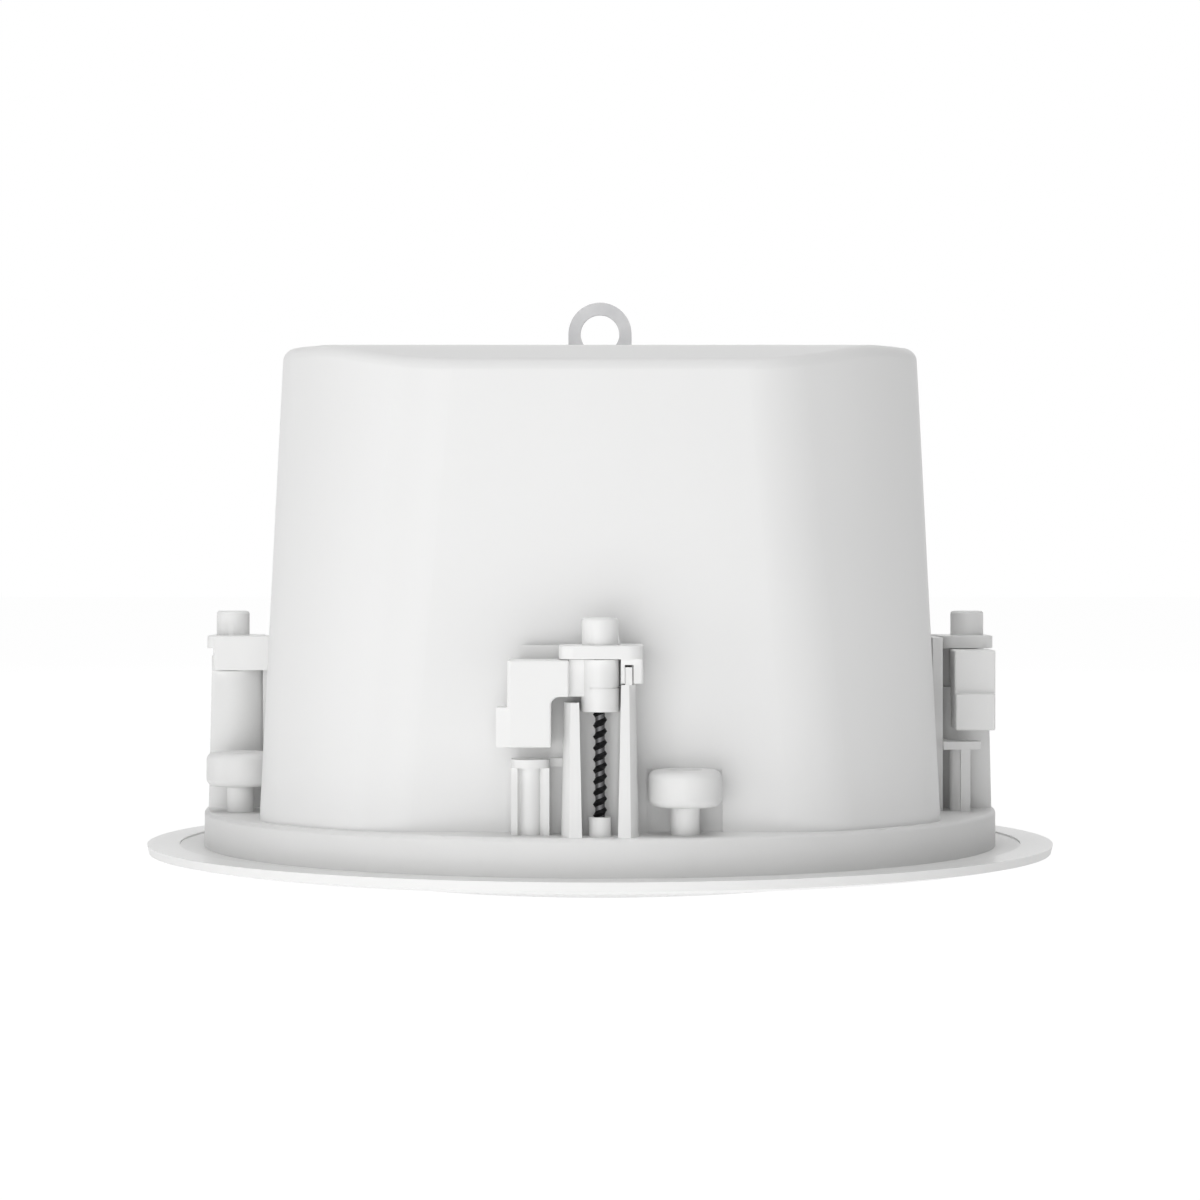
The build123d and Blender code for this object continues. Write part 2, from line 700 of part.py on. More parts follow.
# Driver: its basket hangs under the deck on a gasket and reaches up into the can
flange_back = deck_under - driver_gasket_thickness
flange_middle = flange_back - driver_sheet / 2
flange_front = flange_back - driver_sheet
base_middle = flange_middle + basket_depth
base_back = base_middle + driver_sheet / 2
spider_seat = flange_middle + spider_seat_depth
former_outer = former_radius + former_wall
coil_outer = former_outer + coil_wall
plate_bore = coil_outer + coil_gap
with BuildPart() as driver_basket:
    add(
        thin_wall(
            (
                (driver_flange, flange_middle),
                (basket_mouth, flange_middle),
                (basket_throat, flange_middle + basket_throat_depth),
                (spider_seat_outer, spider_seat),
                (spider_seat_inner, spider_seat),
                (basket_base, base_middle),
                (plate_bore, base_middle),
            ),
            driver_sheet,
        )
    )
    with BuildSketch(Plane.XY.offset(flange_front)):
        with PolarLocations(driver_screw_circle, 4, start_angle=45):
            Circle(tapping_hole)
    extrude(amount=driver_sheet, mode=Mode.SUBTRACT)
    # Windows between the arms of the basket
    with BuildSketch(mode=Mode.PRIVATE) as window:
        with BuildLine():
            outer_arc = CenterArc((0, 0), basket_throat - window_margin, -window_angle / 2, window_angle)
            inner_arc = CenterArc((0, 0), spider_seat_outer + window_margin, -window_angle / 2, window_angle)
            Line(outer_arc @ 0, inner_arc @ 0)
            Line(outer_arc @ 1, inner_arc @ 1)
        make_face()
    with BuildSketch(Plane.XY.offset(flange_back)):
        with PolarLocations(0, basket_windows):
            add(window.sketch)
    extrude(amount=spider_seat_depth, mode=Mode.SUBTRACT)
save(driver_basket.part, "driver_basket")

with BuildPart() as driver_gasket:
    with BuildSketch(Plane.XY.offset(flange_back)):
        Circle(driver_flange)
        Circle(baffle_radius, mode=Mode.SUBTRACT)
        with PolarLocations(driver_screw_circle, 4, start_angle=45):
            Circle(tapping_hole, mode=Mode.SUBTRACT)
    extrude(amount=driver_gasket_thickness)
save(driver_gasket.part, "driver_gasket")

with BuildPart() as driver_screws:
    with BuildSketch(Plane.XY.offset(flange_front)):
        with PolarLocations(driver_screw_circle, 4, start_angle=45):
            Circle(tapping_head_radius)
    extrude(amount=-tapping_head_height)
    with BuildSketch(Plane.XY.offset(flange_front)):
        with PolarLocations(driver_screw_circle, 4, start_angle=45):
            Circle(tapping_radius)
    extrude(amount=tapping_length)
save(driver_screws.part, "driver_screws")

# Motor: front plate, magnet ring and yoke stacked on the back of the basket
plate_back = base_back + plate_depth
magnet_back = plate_back + magnet_depth
save(turned_ring(plate_bore, plate_radius, base_back, plate_back), "front_plate")
save(turned_ring(magnet_bore, magnet_radius, plate_back, magnet_back), "magnet_ring")

with BuildPart() as pole_yoke:
    with BuildSketch(Plane.XY.offset(magnet_back)):
        Circle(plate_radius)
    extrude(amount=yoke_depth)
    with BuildSketch(Plane.XY.offset(base_back)):
        Circle(former_radius - coil_gap)
    extrude(amount=magnet_back - base_back)
    with BuildSketch(Plane.XY.offset(base_back)):
        Circle(pole_vent_radius)
    extrude(amount=magnet_back + yoke_depth - base_back, mode=Mode.SUBTRACT)
save(pole_yoke.part, "pole_yoke")

# Moving parts of the driver: coil on its former, cone and dust cap
coil_middle = base_back + plate_depth / 2
coil_back = coil_middle + coil_length / 2
former_front = coil_back - former_length
save(turned_ring(former_outer, coil_outer, coil_back - coil_length, coil_back), "voice_coil")
save(turned_ring(former_radius, former_outer, former_front, coil_back), "coil_former")

cone_plane = flange_front + cone_sheet / 2
neck_radius = former_outer + cone_sheet / 2 + seat_clearance
cone_path = (
    (cone_radius, cone_plane),
    (cone_radius - cone_lip, cone_plane),
    (neck_radius, former_front),
    (neck_radius, former_front + cone_neck),
)
save(thin_wall(cone_path, cone_sheet), "cone")

# Dust cap: a shallow dome glued to the front of the cone round the coil
cap_share = (cone_radius - cone_lip - dust_cap_radius) / (cone_radius - cone_lip - neck_radius)
cap_edge = cone_plane + cap_share * (former_front - cone_plane) - cone_sheet
with BuildPart() as dust_cap:
    with BuildSketch(Plane.XZ):
        with BuildLine():
            apex = cap_edge - dust_cap_rise
            TangentArc((0, apex), (dust_cap_radius, cap_edge), tangent=(1, 0))
            Line((dust_cap_radius, cap_edge), (dust_cap_radius - dust_cap_sheet, cap_edge))
            TangentArc(
                (0, apex + dust_cap_sheet), (dust_cap_radius - dust_cap_sheet, cap_edge), tangent=(1, 0)
            )
            Line((0, apex + dust_cap_sheet), (0, apex))
        make_face()
    revolve(axis=Axis.Z)
save(dust_cap.part, "dust_cap")

# Surround: a half roll between the basket's flange and the cone's lip
surround_plane = flange_front - surround_sheet / 2
with BuildPart() as surround:
    with BuildSketch(Plane.XZ):
        with BuildLine():
            Line((surround_outer - surround_sheet / 2, surround_plane), (roll_outer, surround_plane))
            roll_middle = (cone_radius + surround_roll / 2, surround_plane - surround_roll / 2)
            ThreePointArc((roll_outer, surround_plane), roll_middle, (cone_radius, surround_plane))
            lip_end = cone_radius - cone_lip + surround_sheet / 2
            Line((cone_radius, surround_plane), (lip_end, surround_plane))
            offset(amount=surround_sheet / 2, kind=Kind.INTERSECTION, side=Side.BOTH, mode=Mode.REPLACE)
        make_face()
    revolve(axis=Axis.Z)
save(surround.part, "surround")

# Spider: a corrugated disc that centres the coil, glued to the seat in the basket
spider_plane = spider_seat - driver_sheet / 2 - spider_sheet / 2
spider_inner = former_outer + seat_clearance
spider_pitch = (spider_seat_inner - spider_inner) / (2 * spider_waves)
spider_path = [(spider_seat_outer - spider_inset, spider_plane), (spider_seat_inner, spider_plane)]
for wave in range(2 * spider_waves - 1):
    crest = spider_wave_height if wave % 2 else -spider_wave_height
    spider_path.append((spider_seat_inner - (wave + 1) * spider_pitch, spider_plane + crest))
spider_path.append((spider_inner, spider_plane))
save(thin_wall(spider_path, spider_sheet), "spider")

# Cable gland on the rear flat and its lock nut inside the can
gland_stub = can_wall + gland_nut_depth + gland_stub_end
with BuildPart() as cable_gland:
    with BuildSketch(gland_plane):
        RegularPolygon(gland_hex / 2, 6, major_radius=False)
    extrude(amount=gland_hex_depth)
    with BuildSketch(gland_plane.offset(gland_hex_depth)):
        Circle(gland_nose_radius)
    extrude(amount=gland_nose)
    fillet(cable_gland.edges().sort_by(Axis.Y)[-1], gland_nose_round)
    with BuildSketch(gland_plane):
        Circle(gland_stub_radius)
    extrude(amount=-gland_stub)
    with BuildSketch(gland_plane.offset(-gland_stub)):
        Circle(gland_hole_radius)
    extrude(amount=gland_stub + gland_hex_depth + gland_nose, mode=Mode.SUBTRACT)
save(cable_gland.part, "cable_gland")

with BuildPart() as gland_nut:
    with BuildSketch(gland_plane.offset(-can_wall - seat_clearance)):
        RegularPolygon(gland_nut_hex / 2, 6, major_radius=False)
        Circle(gland_stub_radius + seat_clearance, mode=Mode.SUBTRACT)
    extrude(amount=-gland_nut_depth)
save(gland_nut.part, "gland_nut")

# Terminal block under the can's top, with two wire ways and two screws
terminal_bottom = can_top - can_wall - terminal_height
way_spacing = terminal_length / 2
with BuildPart() as terminal_block:
    with BuildSketch(Plane.XY.offset(terminal_bottom)):
        with Locations((0, terminal_offset)):
            Rectangle(terminal_length, terminal_width)
            with GridLocations(way_spacing, 0, 2, 1):
                Circle(terminal_screw_radius + seat_clearance, mode=Mode.SUBTRACT)
    extrude(amount=terminal_height)
    with BuildSketch(Plane.XZ.offset(-terminal_offset)):
        with Locations((0, terminal_bottom + terminal_height / 2)):
            with GridLocations(way_spacing, 0, 2, 1):
                Circle(terminal_hole_radius)
    extrude(amount=terminal_width / 2, both=True, mode=Mode.SUBTRACT)
save(terminal_block.part, "terminal_block")

with BuildPart() as terminal_screws:
    with BuildSketch(Plane.XY.offset(terminal_bottom)):
        with Locations((0, terminal_offset)):
            with GridLocations(way_spacing, 0, 2, 1):
                Circle(terminal_screw_radius)
    extrude(amount=terminal_height / 2 - terminal_hole_radius)
save(terminal_screws.part, "terminal_screws")
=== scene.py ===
import json
import math

import bmesh
import bpy
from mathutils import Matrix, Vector

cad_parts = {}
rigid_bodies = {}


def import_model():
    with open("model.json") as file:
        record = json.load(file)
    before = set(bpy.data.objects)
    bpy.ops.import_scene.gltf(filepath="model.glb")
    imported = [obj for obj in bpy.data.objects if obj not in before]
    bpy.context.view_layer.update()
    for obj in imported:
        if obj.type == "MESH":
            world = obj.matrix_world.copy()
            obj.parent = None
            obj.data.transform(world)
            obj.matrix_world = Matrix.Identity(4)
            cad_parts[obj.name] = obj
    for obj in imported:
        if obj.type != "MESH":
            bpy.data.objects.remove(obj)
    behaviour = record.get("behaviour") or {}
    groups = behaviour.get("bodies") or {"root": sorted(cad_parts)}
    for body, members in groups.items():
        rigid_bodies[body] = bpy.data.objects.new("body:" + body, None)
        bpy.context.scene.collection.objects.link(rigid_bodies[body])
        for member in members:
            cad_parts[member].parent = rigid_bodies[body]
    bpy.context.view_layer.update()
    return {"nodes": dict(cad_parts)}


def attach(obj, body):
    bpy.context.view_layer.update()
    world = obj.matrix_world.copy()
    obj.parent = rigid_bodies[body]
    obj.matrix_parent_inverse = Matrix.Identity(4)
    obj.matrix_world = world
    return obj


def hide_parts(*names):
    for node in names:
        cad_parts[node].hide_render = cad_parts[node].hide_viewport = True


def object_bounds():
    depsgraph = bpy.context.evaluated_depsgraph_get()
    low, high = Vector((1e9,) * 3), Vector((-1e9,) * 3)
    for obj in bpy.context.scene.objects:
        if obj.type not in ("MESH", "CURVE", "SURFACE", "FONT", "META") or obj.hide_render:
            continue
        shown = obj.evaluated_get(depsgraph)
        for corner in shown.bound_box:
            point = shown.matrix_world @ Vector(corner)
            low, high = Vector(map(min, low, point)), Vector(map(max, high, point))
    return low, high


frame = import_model()

# Bezel frame: flange, collar, deck, clamp guides and parking stands in one injection moulding of white ABS.
# It comes off the tool with a fine satin grain, and the flat rim that meets the ceiling is polished.
# All the other pieces are fixed to it.
cloud_detail = 5.0
grain_detail = 3.0
tone_stops = (0.3, 0.7)
gloss_swing = 0.06
bump_strength = 0.5
rim_band = 0.00025
rim_polish = 0.2


def add_node(tree, kind, inputs=None, **settings):
    """Node of one kind, whose inputs take plain values or the outputs of other nodes."""
    node = tree.nodes.new(kind)
    for name, value in settings.items():
        setattr(node, name, value)
    for name, value in (inputs or {}).items():
        if isinstance(value, bpy.types.NodeSocket):
            tree.links.new(value, node.inputs[name])
        else:
            node.inputs[name].default_value = value
    return node


def worked(tree, operation, *terms):
    """Output of one sum, whose terms are plain numbers or the outputs of other nodes."""
    return add_node(tree, "ShaderNodeMath", dict(enumerate(terms)), operation=operation).outputs[0]


def textured(name, pale, shade, rough, cloud, grain, depth, metal=0.0):
    """Finish with soft clouds of two tones, uneven gloss and fine grain, on the piece's own coordinates."""
    material = bpy.data.materials.new(name)
    material.use_nodes = True
    tree = material.node_tree
    shader = tree.nodes["Principled BSDF"]
    shader.inputs["Metallic"].default_value = metal
    place = add_node(tree, "ShaderNodeTexCoord").outputs["Object"]
    clouds = add_node(tree, "ShaderNodeTexNoise", {
        "Vector": place,
        "Scale": 1.0 / cloud,
        "Detail": cloud_detail,
    })
    tone = add_node(tree, "ShaderNodeValToRGB", {"Fac": clouds.outputs["Fac"]})
    for stop, position, colour in zip(tone.color_ramp.elements, tone_stops, (shade, pale)):
        stop.position = position
        stop.color = (*colour, 1.0)
    grains = add_node(tree, "ShaderNodeTexNoise", {
        "Vector": place,
        "Scale": 1.0 / grain,
        "Detail": grain_detail,
    })
    gloss = add_node(tree, "ShaderNodeMapRange", {
        "Value": grains.outputs["Fac"],
        "To Min": rough - gloss_swing,
        "To Max": rough + gloss_swing,
    })
    bump = add_node(tree, "ShaderNodeBump", {
        "Height": grains.outputs["Fac"],
        "Strength": bump_strength,
        "Distance": depth,
    })
    tree.links.new(tone.outputs["Color"], shader.inputs["Base Color"])
    tree.links.new(gloss.outputs["Result"], shader.inputs["Roughness"])
    tree.links.new(bump.outputs["Normal"], shader.inputs["Normal"])
    return material


def finish(material, *names):
    """Give CAD nodes their finish."""
    for name in names:
        for place in frame["nodes"][name].material_slots:
            place.material = material


white_abs = textured("white_abs", pale=(0.81, 0.81, 0.805), shade=(0.79, 0.79, 0.785), rough=0.5,
                     cloud=0.03, grain=0.0005, depth=0.00002)
abs_tree = white_abs.node_tree
abs_rough = abs_tree.nodes["Principled BSDF"].inputs["Roughness"]
abs_place = add_node(abs_tree, "ShaderNodeTexCoord").outputs["Object"]
above_seat = add_node(abs_tree, "ShaderNodeSeparateXYZ", {"Vector": abs_place}).outputs["Z"]
on_rim = worked(abs_tree, "COMPARE", above_seat, 0.0, rim_band)
satin = abs_rough.links[0].from_socket
abs_tree.links.new(worked(abs_tree, "MULTIPLY_ADD", on_rim, -rim_polish, satin), abs_rough)
finish(white_abs, "bezel_frame")

# Clamp screws: long screws of blackened steel, one in each guide, driven from the room side to work an arm.
# The coarse thread is a ridge that runs in a spiral round a plain core, and the core's paler grey is a
# painted highlight.
# The pan head with its cross recess is turned in one with a short shank and bears on a boss of the frame.
sides = {"front": -90, "right": 0, "rear": 90, "left": 180}
screw_circle = 0.0964
screw_core = 0.00112
screw_crest = 0.00168
core_steps = 32
# Paler grey painted on the thread's core as a painted highlight
core_highlight_tone = (0.14, 0.14, 0.145, 1.0)
thread_pitch = 0.00264
thread_from = 0.0070
thread_to = 0.0574
spiral_steps = 28
ridge_width = 0.0015
ridge_corners = 4
shank_radius = 0.0011
shank_end = 0.0073
head_radius = 0.0030
head_seat = 0.0063
head_face = 0.0041
head_steps = 48
cross_arm = 0.0015
cross_blade = 0.00042
cross_depth = 0.0011
cross_taper = 0.8
crease_angle = math.radians(32)
scene_objects = bpy.context.scene.collection.objects
socket_kinds = {
    float: "NodeSocketFloat",
    tuple: "NodeSocketVector",
    bpy.types.Material: "NodeSocketMaterial",
}
screw_steel = textured("screw_steel", pale=(0.014, 0.014, 0.015), shade=(0.010, 0.010, 0.011), rough=0.42,
                       cloud=0.004, grain=0.0003, depth=0.00001, metal=0.8)
screw_tree = screw_steel.node_tree
screw_colour = screw_tree.nodes["Principled BSDF"].inputs["Base Color"]
# Painted highlight: the marked core is mixed toward a paler grey than the ridge
core_highlight_mix = add_node(screw_tree, "ShaderNodeMix", {
    "Factor": add_node(screw_tree, "ShaderNodeAttribute", attribute_name="core").outputs["Fac"],
    "A": screw_colour.links[0].from_socket,
    "B": core_highlight_tone,
}, data_type="RGBA")
screw_tree.links.new(core_highlight_mix.outputs["Result"], screw_colour)


def new_tree(name, inputs):
    """Tree of geometry nodes with a named input for each value."""
    tree = bpy.data.node_groups.new(name, "GeometryNodeTree")
    tree.interface.new_socket("Geometry", in_out="OUTPUT", socket_type="NodeSocketGeometry")
    for title, value in inputs.items():
        socket = tree.interface.new_socket(title, in_out="INPUT", socket_type=socket_kinds[type(value)])
        socket.default_value = value
    return tree


def circle(tree, corners, radius):
    """Outline with its corners spaced evenly on a circle."""
    outline = add_node(tree, "GeometryNodeCurvePrimitiveCircle", {"Resolution": corners, "Radius": radius})
    return outline.outputs["Curve"]


def straight_up(tree, length):
    """Vector of this length along Z."""
    return add_node(tree, "ShaderNodeCombineXYZ", {"Z": length}).outputs["Vector"]


def moved(tree, geometry, by):
    """Geometry shifted by a vector."""
    shifted = add_node(tree, "GeometryNodeTransform", {"Geometry": geometry, "Translation": by})
    return shifted.outputs["Geometry"]


def swept(tree, path, section, capped):
    """Mesh of a section drawn along a path."""
    drawn = add_node(tree, "GeometryNodeCurveToMesh", {
        "Curve": path,
        "Profile Curve": section,
        "Fill Caps": capped,
    })
    return drawn.outputs["Mesh"]


def joined(tree, *parts):
    """All the parts as one geometry."""
    union = add_node(tree, "GeometryNodeJoinGeometry")
    for part in parts:
        tree.links.new(part, union.inputs["Geometry"])
    return union.outputs["Geometry"]


def give_out(tree, geometry, material):
    """End a tree with real faces that carry their finish."""
    real = add_node(tree, "GeometryNodeRealizeInstances", {"Geometry": geometry})
    coated = add_node(tree, "GeometryNodeSetMaterial", {
        "Geometry": real.outputs["Geometry"],
        "Material": material,
    })
    add_node(tree, "NodeGroupOutput", {"Geometry": coated.outputs["Geometry"]})


def grown(tree, settings, name):
    """Plain mesh object that a tree grows from an empty mesh, with these of its named inputs set."""
    seed = bpy.data.objects.new(name + "_seed", bpy.data.meshes.new(name + "_seed"))
    scene_objects.link(seed)
    growth = seed.modifiers.new("growth", "NODES")
    growth.node_group = tree
    for socket in tree.interface.items_tree:
        if socket.name in settings:
            growth[socket.identifier] = settings[socket.name]
    bpy.context.view_layer.update()
    ready = seed.evaluated_get(bpy.context.evaluated_depsgraph_get())
    mesh = bpy.data.meshes.new_from_object(ready)
    bpy.data.objects.remove(seed)
    mesh.shade_smooth()
    mesh.set_sharp_from_angle(angle=crease_angle)
    piece = bpy.data.objects.new(name, mesh)
    scene_objects.link(piece)
    return piece


thread_tree = new_tree("screw_thread", {
    "Place": (0.0, 0.0, 0.0),
    "Core radius": screw_core,
    "Crest radius": screw_crest,
    "Pitch": thread_pitch,
    "Ridge width": ridge_width,
    "Length": thread_to - thread_from,
    "Finish": screw_steel,
})
sizes = add_node(thread_tree, "NodeGroupInput").outputs

# The ridge's section is a diamond on the core's surface, whose outer corner is the crest
spiral = add_node(thread_tree, "GeometryNodeCurveSpiral", {
    "Resolution": spiral_steps,
    "Rotations": worked(thread_tree, "DIVIDE", sizes["Length"], sizes["Pitch"]),
    "Start Radius": sizes["Core radius"],
    "End Radius": sizes["Core radius"],
    "Height": sizes["Length"],
    "Reverse": True,
})
upright = add_node(thread_tree, "GeometryNodeSetCurveNormal", {
    "Curve": spiral.outputs["Curve"],
}, mode="Z_UP")
ridge_scale = add_node(thread_tree, "ShaderNodeCombineXYZ", {
    "X": worked(thread_tree, "SUBTRACT", sizes["Crest radius"], sizes["Core radius"]),
    "Y": worked(thread_tree, "MULTIPLY", sizes["Ridge width"], 0.5),
    "Z": 1.0,
})
diamond = add_node(thread_tree, "GeometryNodeTransform", {
    "Geometry": circle(thread_tree, ridge_corners, 1.0),
    "Scale": ridge_scale.outputs["Vector"],
})
ridge = swept(thread_tree, upright.outputs["Curve"], diamond.outputs["Geometry"], True)

# The core carries the mark that its finish reads to paint it paler, a painted highlight
cylinder = add_node(thread_tree, "GeometryNodeMeshCylinder", {
    "Vertices": core_steps,
    "Radius": sizes["Core radius"],
    "Depth": sizes["Length"],
})
marked = add_node(thread_tree, "GeometryNodeStoreNamedAttribute", {
    "Geometry": cylinder.outputs["Mesh"],
    "Name": "core",
    "Value": 1.0,
})
half_length = worked(thread_tree, "MULTIPLY", sizes["Length"], 0.5)
core = moved(thread_tree, marked.outputs["Geometry"], straight_up(thread_tree, half_length))
threaded = moved(thread_tree, joined(thread_tree, core, ridge), sizes["Place"])
give_out(thread_tree, threaded, sizes["Finish"])

# Half section of the shank and the head, as radius and height, from the shank's end to the crown's flat
head_outline = [
    (shank_radius, shank_end),
    (shank_radius, head_seat),
    (head_radius, head_seat),
    (head_radius, 0.0050),
    (0.00285, 0.0046),
    (0.0025, 0.0043),
    (0.0020, 0.00415),
]

# Outline of the cross recess, as one arm's corners turned four times
arm_corners = [(cross_arm, -cross_blade), (cross_arm, cross_blade), (cross_blade, cross_blade)]
cross = []
for quarter in range(4):
    cross += arm_corners
    arm_corners = [(-v, u) for u, v in arm_corners]


def band(shape, lower, upper):
    """Wall between two rings that have the same count of corners."""
    for step in range(len(lower)):
        after = (step + 1) % len(lower)
        shape.faces.new((lower[step], lower[after], upper[after], upper[step]))


def pan_head(mesh, x, y):
    """Shank and pan head with a cross recess, added to a screw's mesh and facing the room."""
    shape = bmesh.new()
    shape.from_mesh(mesh)
    turns = [2 * math.pi * step / head_steps for step in range(head_steps)]
    rings = []
    for radius, height in head_outline:
        points = [(x + radius * math.cos(turn), y + radius * math.sin(turn), height) for turn in turns]
        rings.append([shape.verts.new(point) for point in points])
    for lower, upper in zip(rings, rings[1:]):
        band(shape, lower, upper)
    recess_end = head_face + cross_depth
    mouth = [shape.verts.new((x + u, y + v, head_face)) for u, v in cross]
    bottom = [shape.verts.new((x + u * cross_taper, y + v * cross_taper, recess_end)) for u, v in cross]
    edges = []
    for around in (rings[-1], mouth):
        for step, corner in enumerate(around):
            after = around[(step + 1) % len(around)]
            edges.append(shape.edges.get((corner, after)) or shape.edges.new((corner, after)))
    bmesh.ops.triangle_fill(shape, edges=edges, use_beauty=True, normal=(0, 0, -1))
    band(shape, mouth, bottom)
    shape.faces.new(bottom)
    shape.faces.new(rings[0])
    bmesh.ops.recalc_face_normals(shape, faces=shape.faces)
    shape.to_mesh(mesh)
    shape.free()


for side, angle in sides.items():
    x = screw_circle * math.cos(math.radians(angle))
    y = screw_circle * math.sin(math.radians(angle))
    settings = {"Place": (x, y, thread_from), "Finish": screw_steel}
    screw = grown(thread_tree, settings, f"clamp_screw_thread_{side}")
    pan_head(screw.data, x, y)
    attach(screw, f"screw_{side}")
    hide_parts(f"clamp_screw_{side}")

# Clamp arms and caps: small injection mouldings of white nylon, a little glossier than the frame.
# Each arm rides on its screw by a sleeve, parks beside the guide and swings out over the ceiling board.
# Each cap closes a guide: its hook grips the guide's tongue, and its dome holds the screw's tip.
white_nylon = textured("white_nylon", pale=(0.815, 0.815, 0.81), shade=(0.80, 0.80, 0.795), rough=0.4,
                       cloud=0.012, grain=0.0004, depth=0.000012)
for side in sides:
    finish(white_nylon, f"clamp_arm_{side}", f"clamp_cap_{side}")

# Bumpers: soft mushrooms moulded in white rubber, with a shallow dish in the head.
# Each is pressed on a pin of the frame beside a guide.
white_rubber = textured("white_rubber", pale=(0.80, 0.80, 0.795), shade=(0.77, 0.77, 0.765), rough=0.45,
                        cloud=0.01, grain=0.0006, depth=0.000015)
for side in sides:
    finish(white_rubber, f"bumper_{side}")

# Driver's basket and gasket: a basket pressed from steel sheet and painted black, and a ring of black foam.
# The basket hangs under the deck on the gasket and reaches up into the can.
# Blackened steel screws, driven from the room side, hold its rim to bosses of the frame.
basket_paint = textured("basket_paint", pale=(0.05, 0.05, 0.052), shade=(0.035, 0.035, 0.037), rough=0.45,
                        cloud=0.01, grain=0.0004, depth=0.00002)
gasket_foam = textured("gasket_foam", pale=(0.06, 0.06, 0.06), shade=(0.04, 0.04, 0.04), rough=0.85,
                       cloud=0.003, grain=0.0003, depth=0.00006)
black_steel = textured("black_steel", pale=(0.035, 0.035, 0.037), shade=(0.02, 0.02, 0.022), rough=0.38,
                       cloud=0.004, grain=0.0003, depth=0.00001, metal=0.6)
finish(basket_paint, "driver_basket")
finish(gasket_foam, "driver_gasket")
finish(black_steel, "driver_screws")

# Motor: a front plate and a pole yoke of bright turned steel, with a ring of fired ferrite between them.
# The three are glued in one stack on the back of the basket.
bright_steel = textured("bright_steel", pale=(0.55, 0.55, 0.56), shade=(0.48, 0.48, 0.49), rough=0.35,
                        cloud=0.01, grain=0.0003, depth=0.00001, metal=0.9)
ferrite = textured("ferrite", pale=(0.17, 0.17, 0.18), shade=(0.12, 0.12, 0.125), rough=0.7,
                   cloud=0.004, grain=0.0002, depth=0.00002)
finish(bright_steel, "front_plate", "pole_yoke")
finish(ferrite, "magnet_ring")

# Voice coil and spider: enamelled copper wire, wound on a foil former that moves in the motor's gap.
# The spider is a corrugated disc of stiffened cloth, glued to a seat in the basket, that centres the coil.
former_foil = textured("former_foil", pale=(0.75, 0.75, 0.76), shade=(0.68, 0.68, 0.7), rough=0.3,
                       cloud=0.01, grain=0.0004, depth=0.00001, metal=0.9)
coil_wire = textured("coil_wire", pale=(0.6, 0.3, 0.14), shade=(0.5, 0.22, 0.1), rough=0.35,
                     cloud=0.003, grain=0.0002, depth=0.00002, metal=0.8)
spider_cloth = textured("spider_cloth", pale=(0.72, 0.56, 0.3), shade=(0.62, 0.46, 0.22), rough=0.8,
                        cloud=0.003, grain=0.0004, depth=0.00005)
finish(former_foil, "coil_former")
finish(coil_wire, "voice_coil")
finish(spider_cloth, "spider")

# Cone, dust cap and surround: the cone and its cap are pressed from black paper pulp and glued together.
# The surround is a half roll of black rubber, glued between the cone's lip and the basket's flange.
cone_pulp = textured("cone_pulp", pale=(0.055, 0.055, 0.055), shade=(0.03, 0.03, 0.03), rough=0.8,
                     cloud=0.004, grain=0.0005, depth=0.00005)
roll_rubber = textured("roll_rubber", pale=(0.04, 0.04, 0.04), shade=(0.028, 0.028, 0.028), rough=0.55,
                       cloud=0.01, grain=0.0005, depth=0.00001)
finish(cone_pulp, "cone", "dust_cap")
finish(roll_rubber, "surround")

# Back can: a deep tapered tub with four flats, moulded in white ABS and smoother than the frame.
# It stands on the deck, held from the room side by blackened steel screws in bosses in its round corners.
can_abs = textured("can_abs", pale=(0.805, 0.805, 0.802), shade=(0.79, 0.79, 0.787), rough=0.4,
                   cloud=0.05, grain=0.0007, depth=0.00002)
finish(can_abs, "back_can")
finish(black_steel, "can_screws")

# Safety eye: a tab bent from zinc plated steel sheet, with a round eye for the safety wire.
# It comes up through a slot in the can's top and is riveted to it from below.
zinc_steel = textured("zinc_steel", pale=(0.58, 0.58, 0.585), shade=(0.52, 0.52, 0.53), rough=0.5,
                      cloud=0.006, grain=0.0004, depth=0.00001, metal=0.55)
finish(zinc_steel, "safety_eye", "eye_rivets")

# Cable entry and terminals: a gland of black nylon through the can's rear flat, with its lock nut inside.
# The terminal block is moulded in the same nylon and sits under the can's top, with zinc plated screws.
black_nylon = textured("black_nylon", pale=(0.045, 0.045, 0.047), shade=(0.03, 0.03, 0.032), rough=0.45,
                       cloud=0.006, grain=0.0004, depth=0.00002)
finish(black_nylon, "cable_gland", "gland_nut", "terminal_block")
finish(zinc_steel, "terminal_screws")

# Grille: a domed pan of white powder coated steel sheet, pressed into the collar from the room side.
# Round holes on a triangular grid fill the dome up to a plain border that turns up into the skirt.
grille_radius = 0.10075
grille_edge = -0.0033
grille_rise = 0.00938
grille_sheet = 0.0008
grille_skirt = 0.0038
skirt_inset = 0.00001
rim_steps = 192
hole_pitch = 0.0038
hole_radius = 0.00128
hole_steps = 12
field_radius = 0.0968
hexagon_corners = 6
hexagon_turn = math.radians(30)
faces_at_border = 1.0
count_margin = 0.1
row_ratio = math.sqrt(3)
weld_distance = 1e-6
white_steel = textured("white_steel", pale=(0.80, 0.80, 0.795), shade=(0.78, 0.78, 0.775), rough=0.5,
                       cloud=0.02, grain=0.0004, depth=0.00002)
grille_tree = new_tree("perforated_dome", {
    "Hole pitch": hole_pitch,
    "Hole radius": hole_radius,
    "Field radius": field_radius,
    "Sheet radius": grille_radius,
    "Sheet thickness": grille_sheet,
    "Skirt height": grille_skirt,
    "Skirt inset": skirt_inset,
    "Edge height": grille_edge,
    "Dome rise": grille_rise,
    "Finish": white_steel,
})
sizes = add_node(grille_tree, "NodeGroupInput").outputs

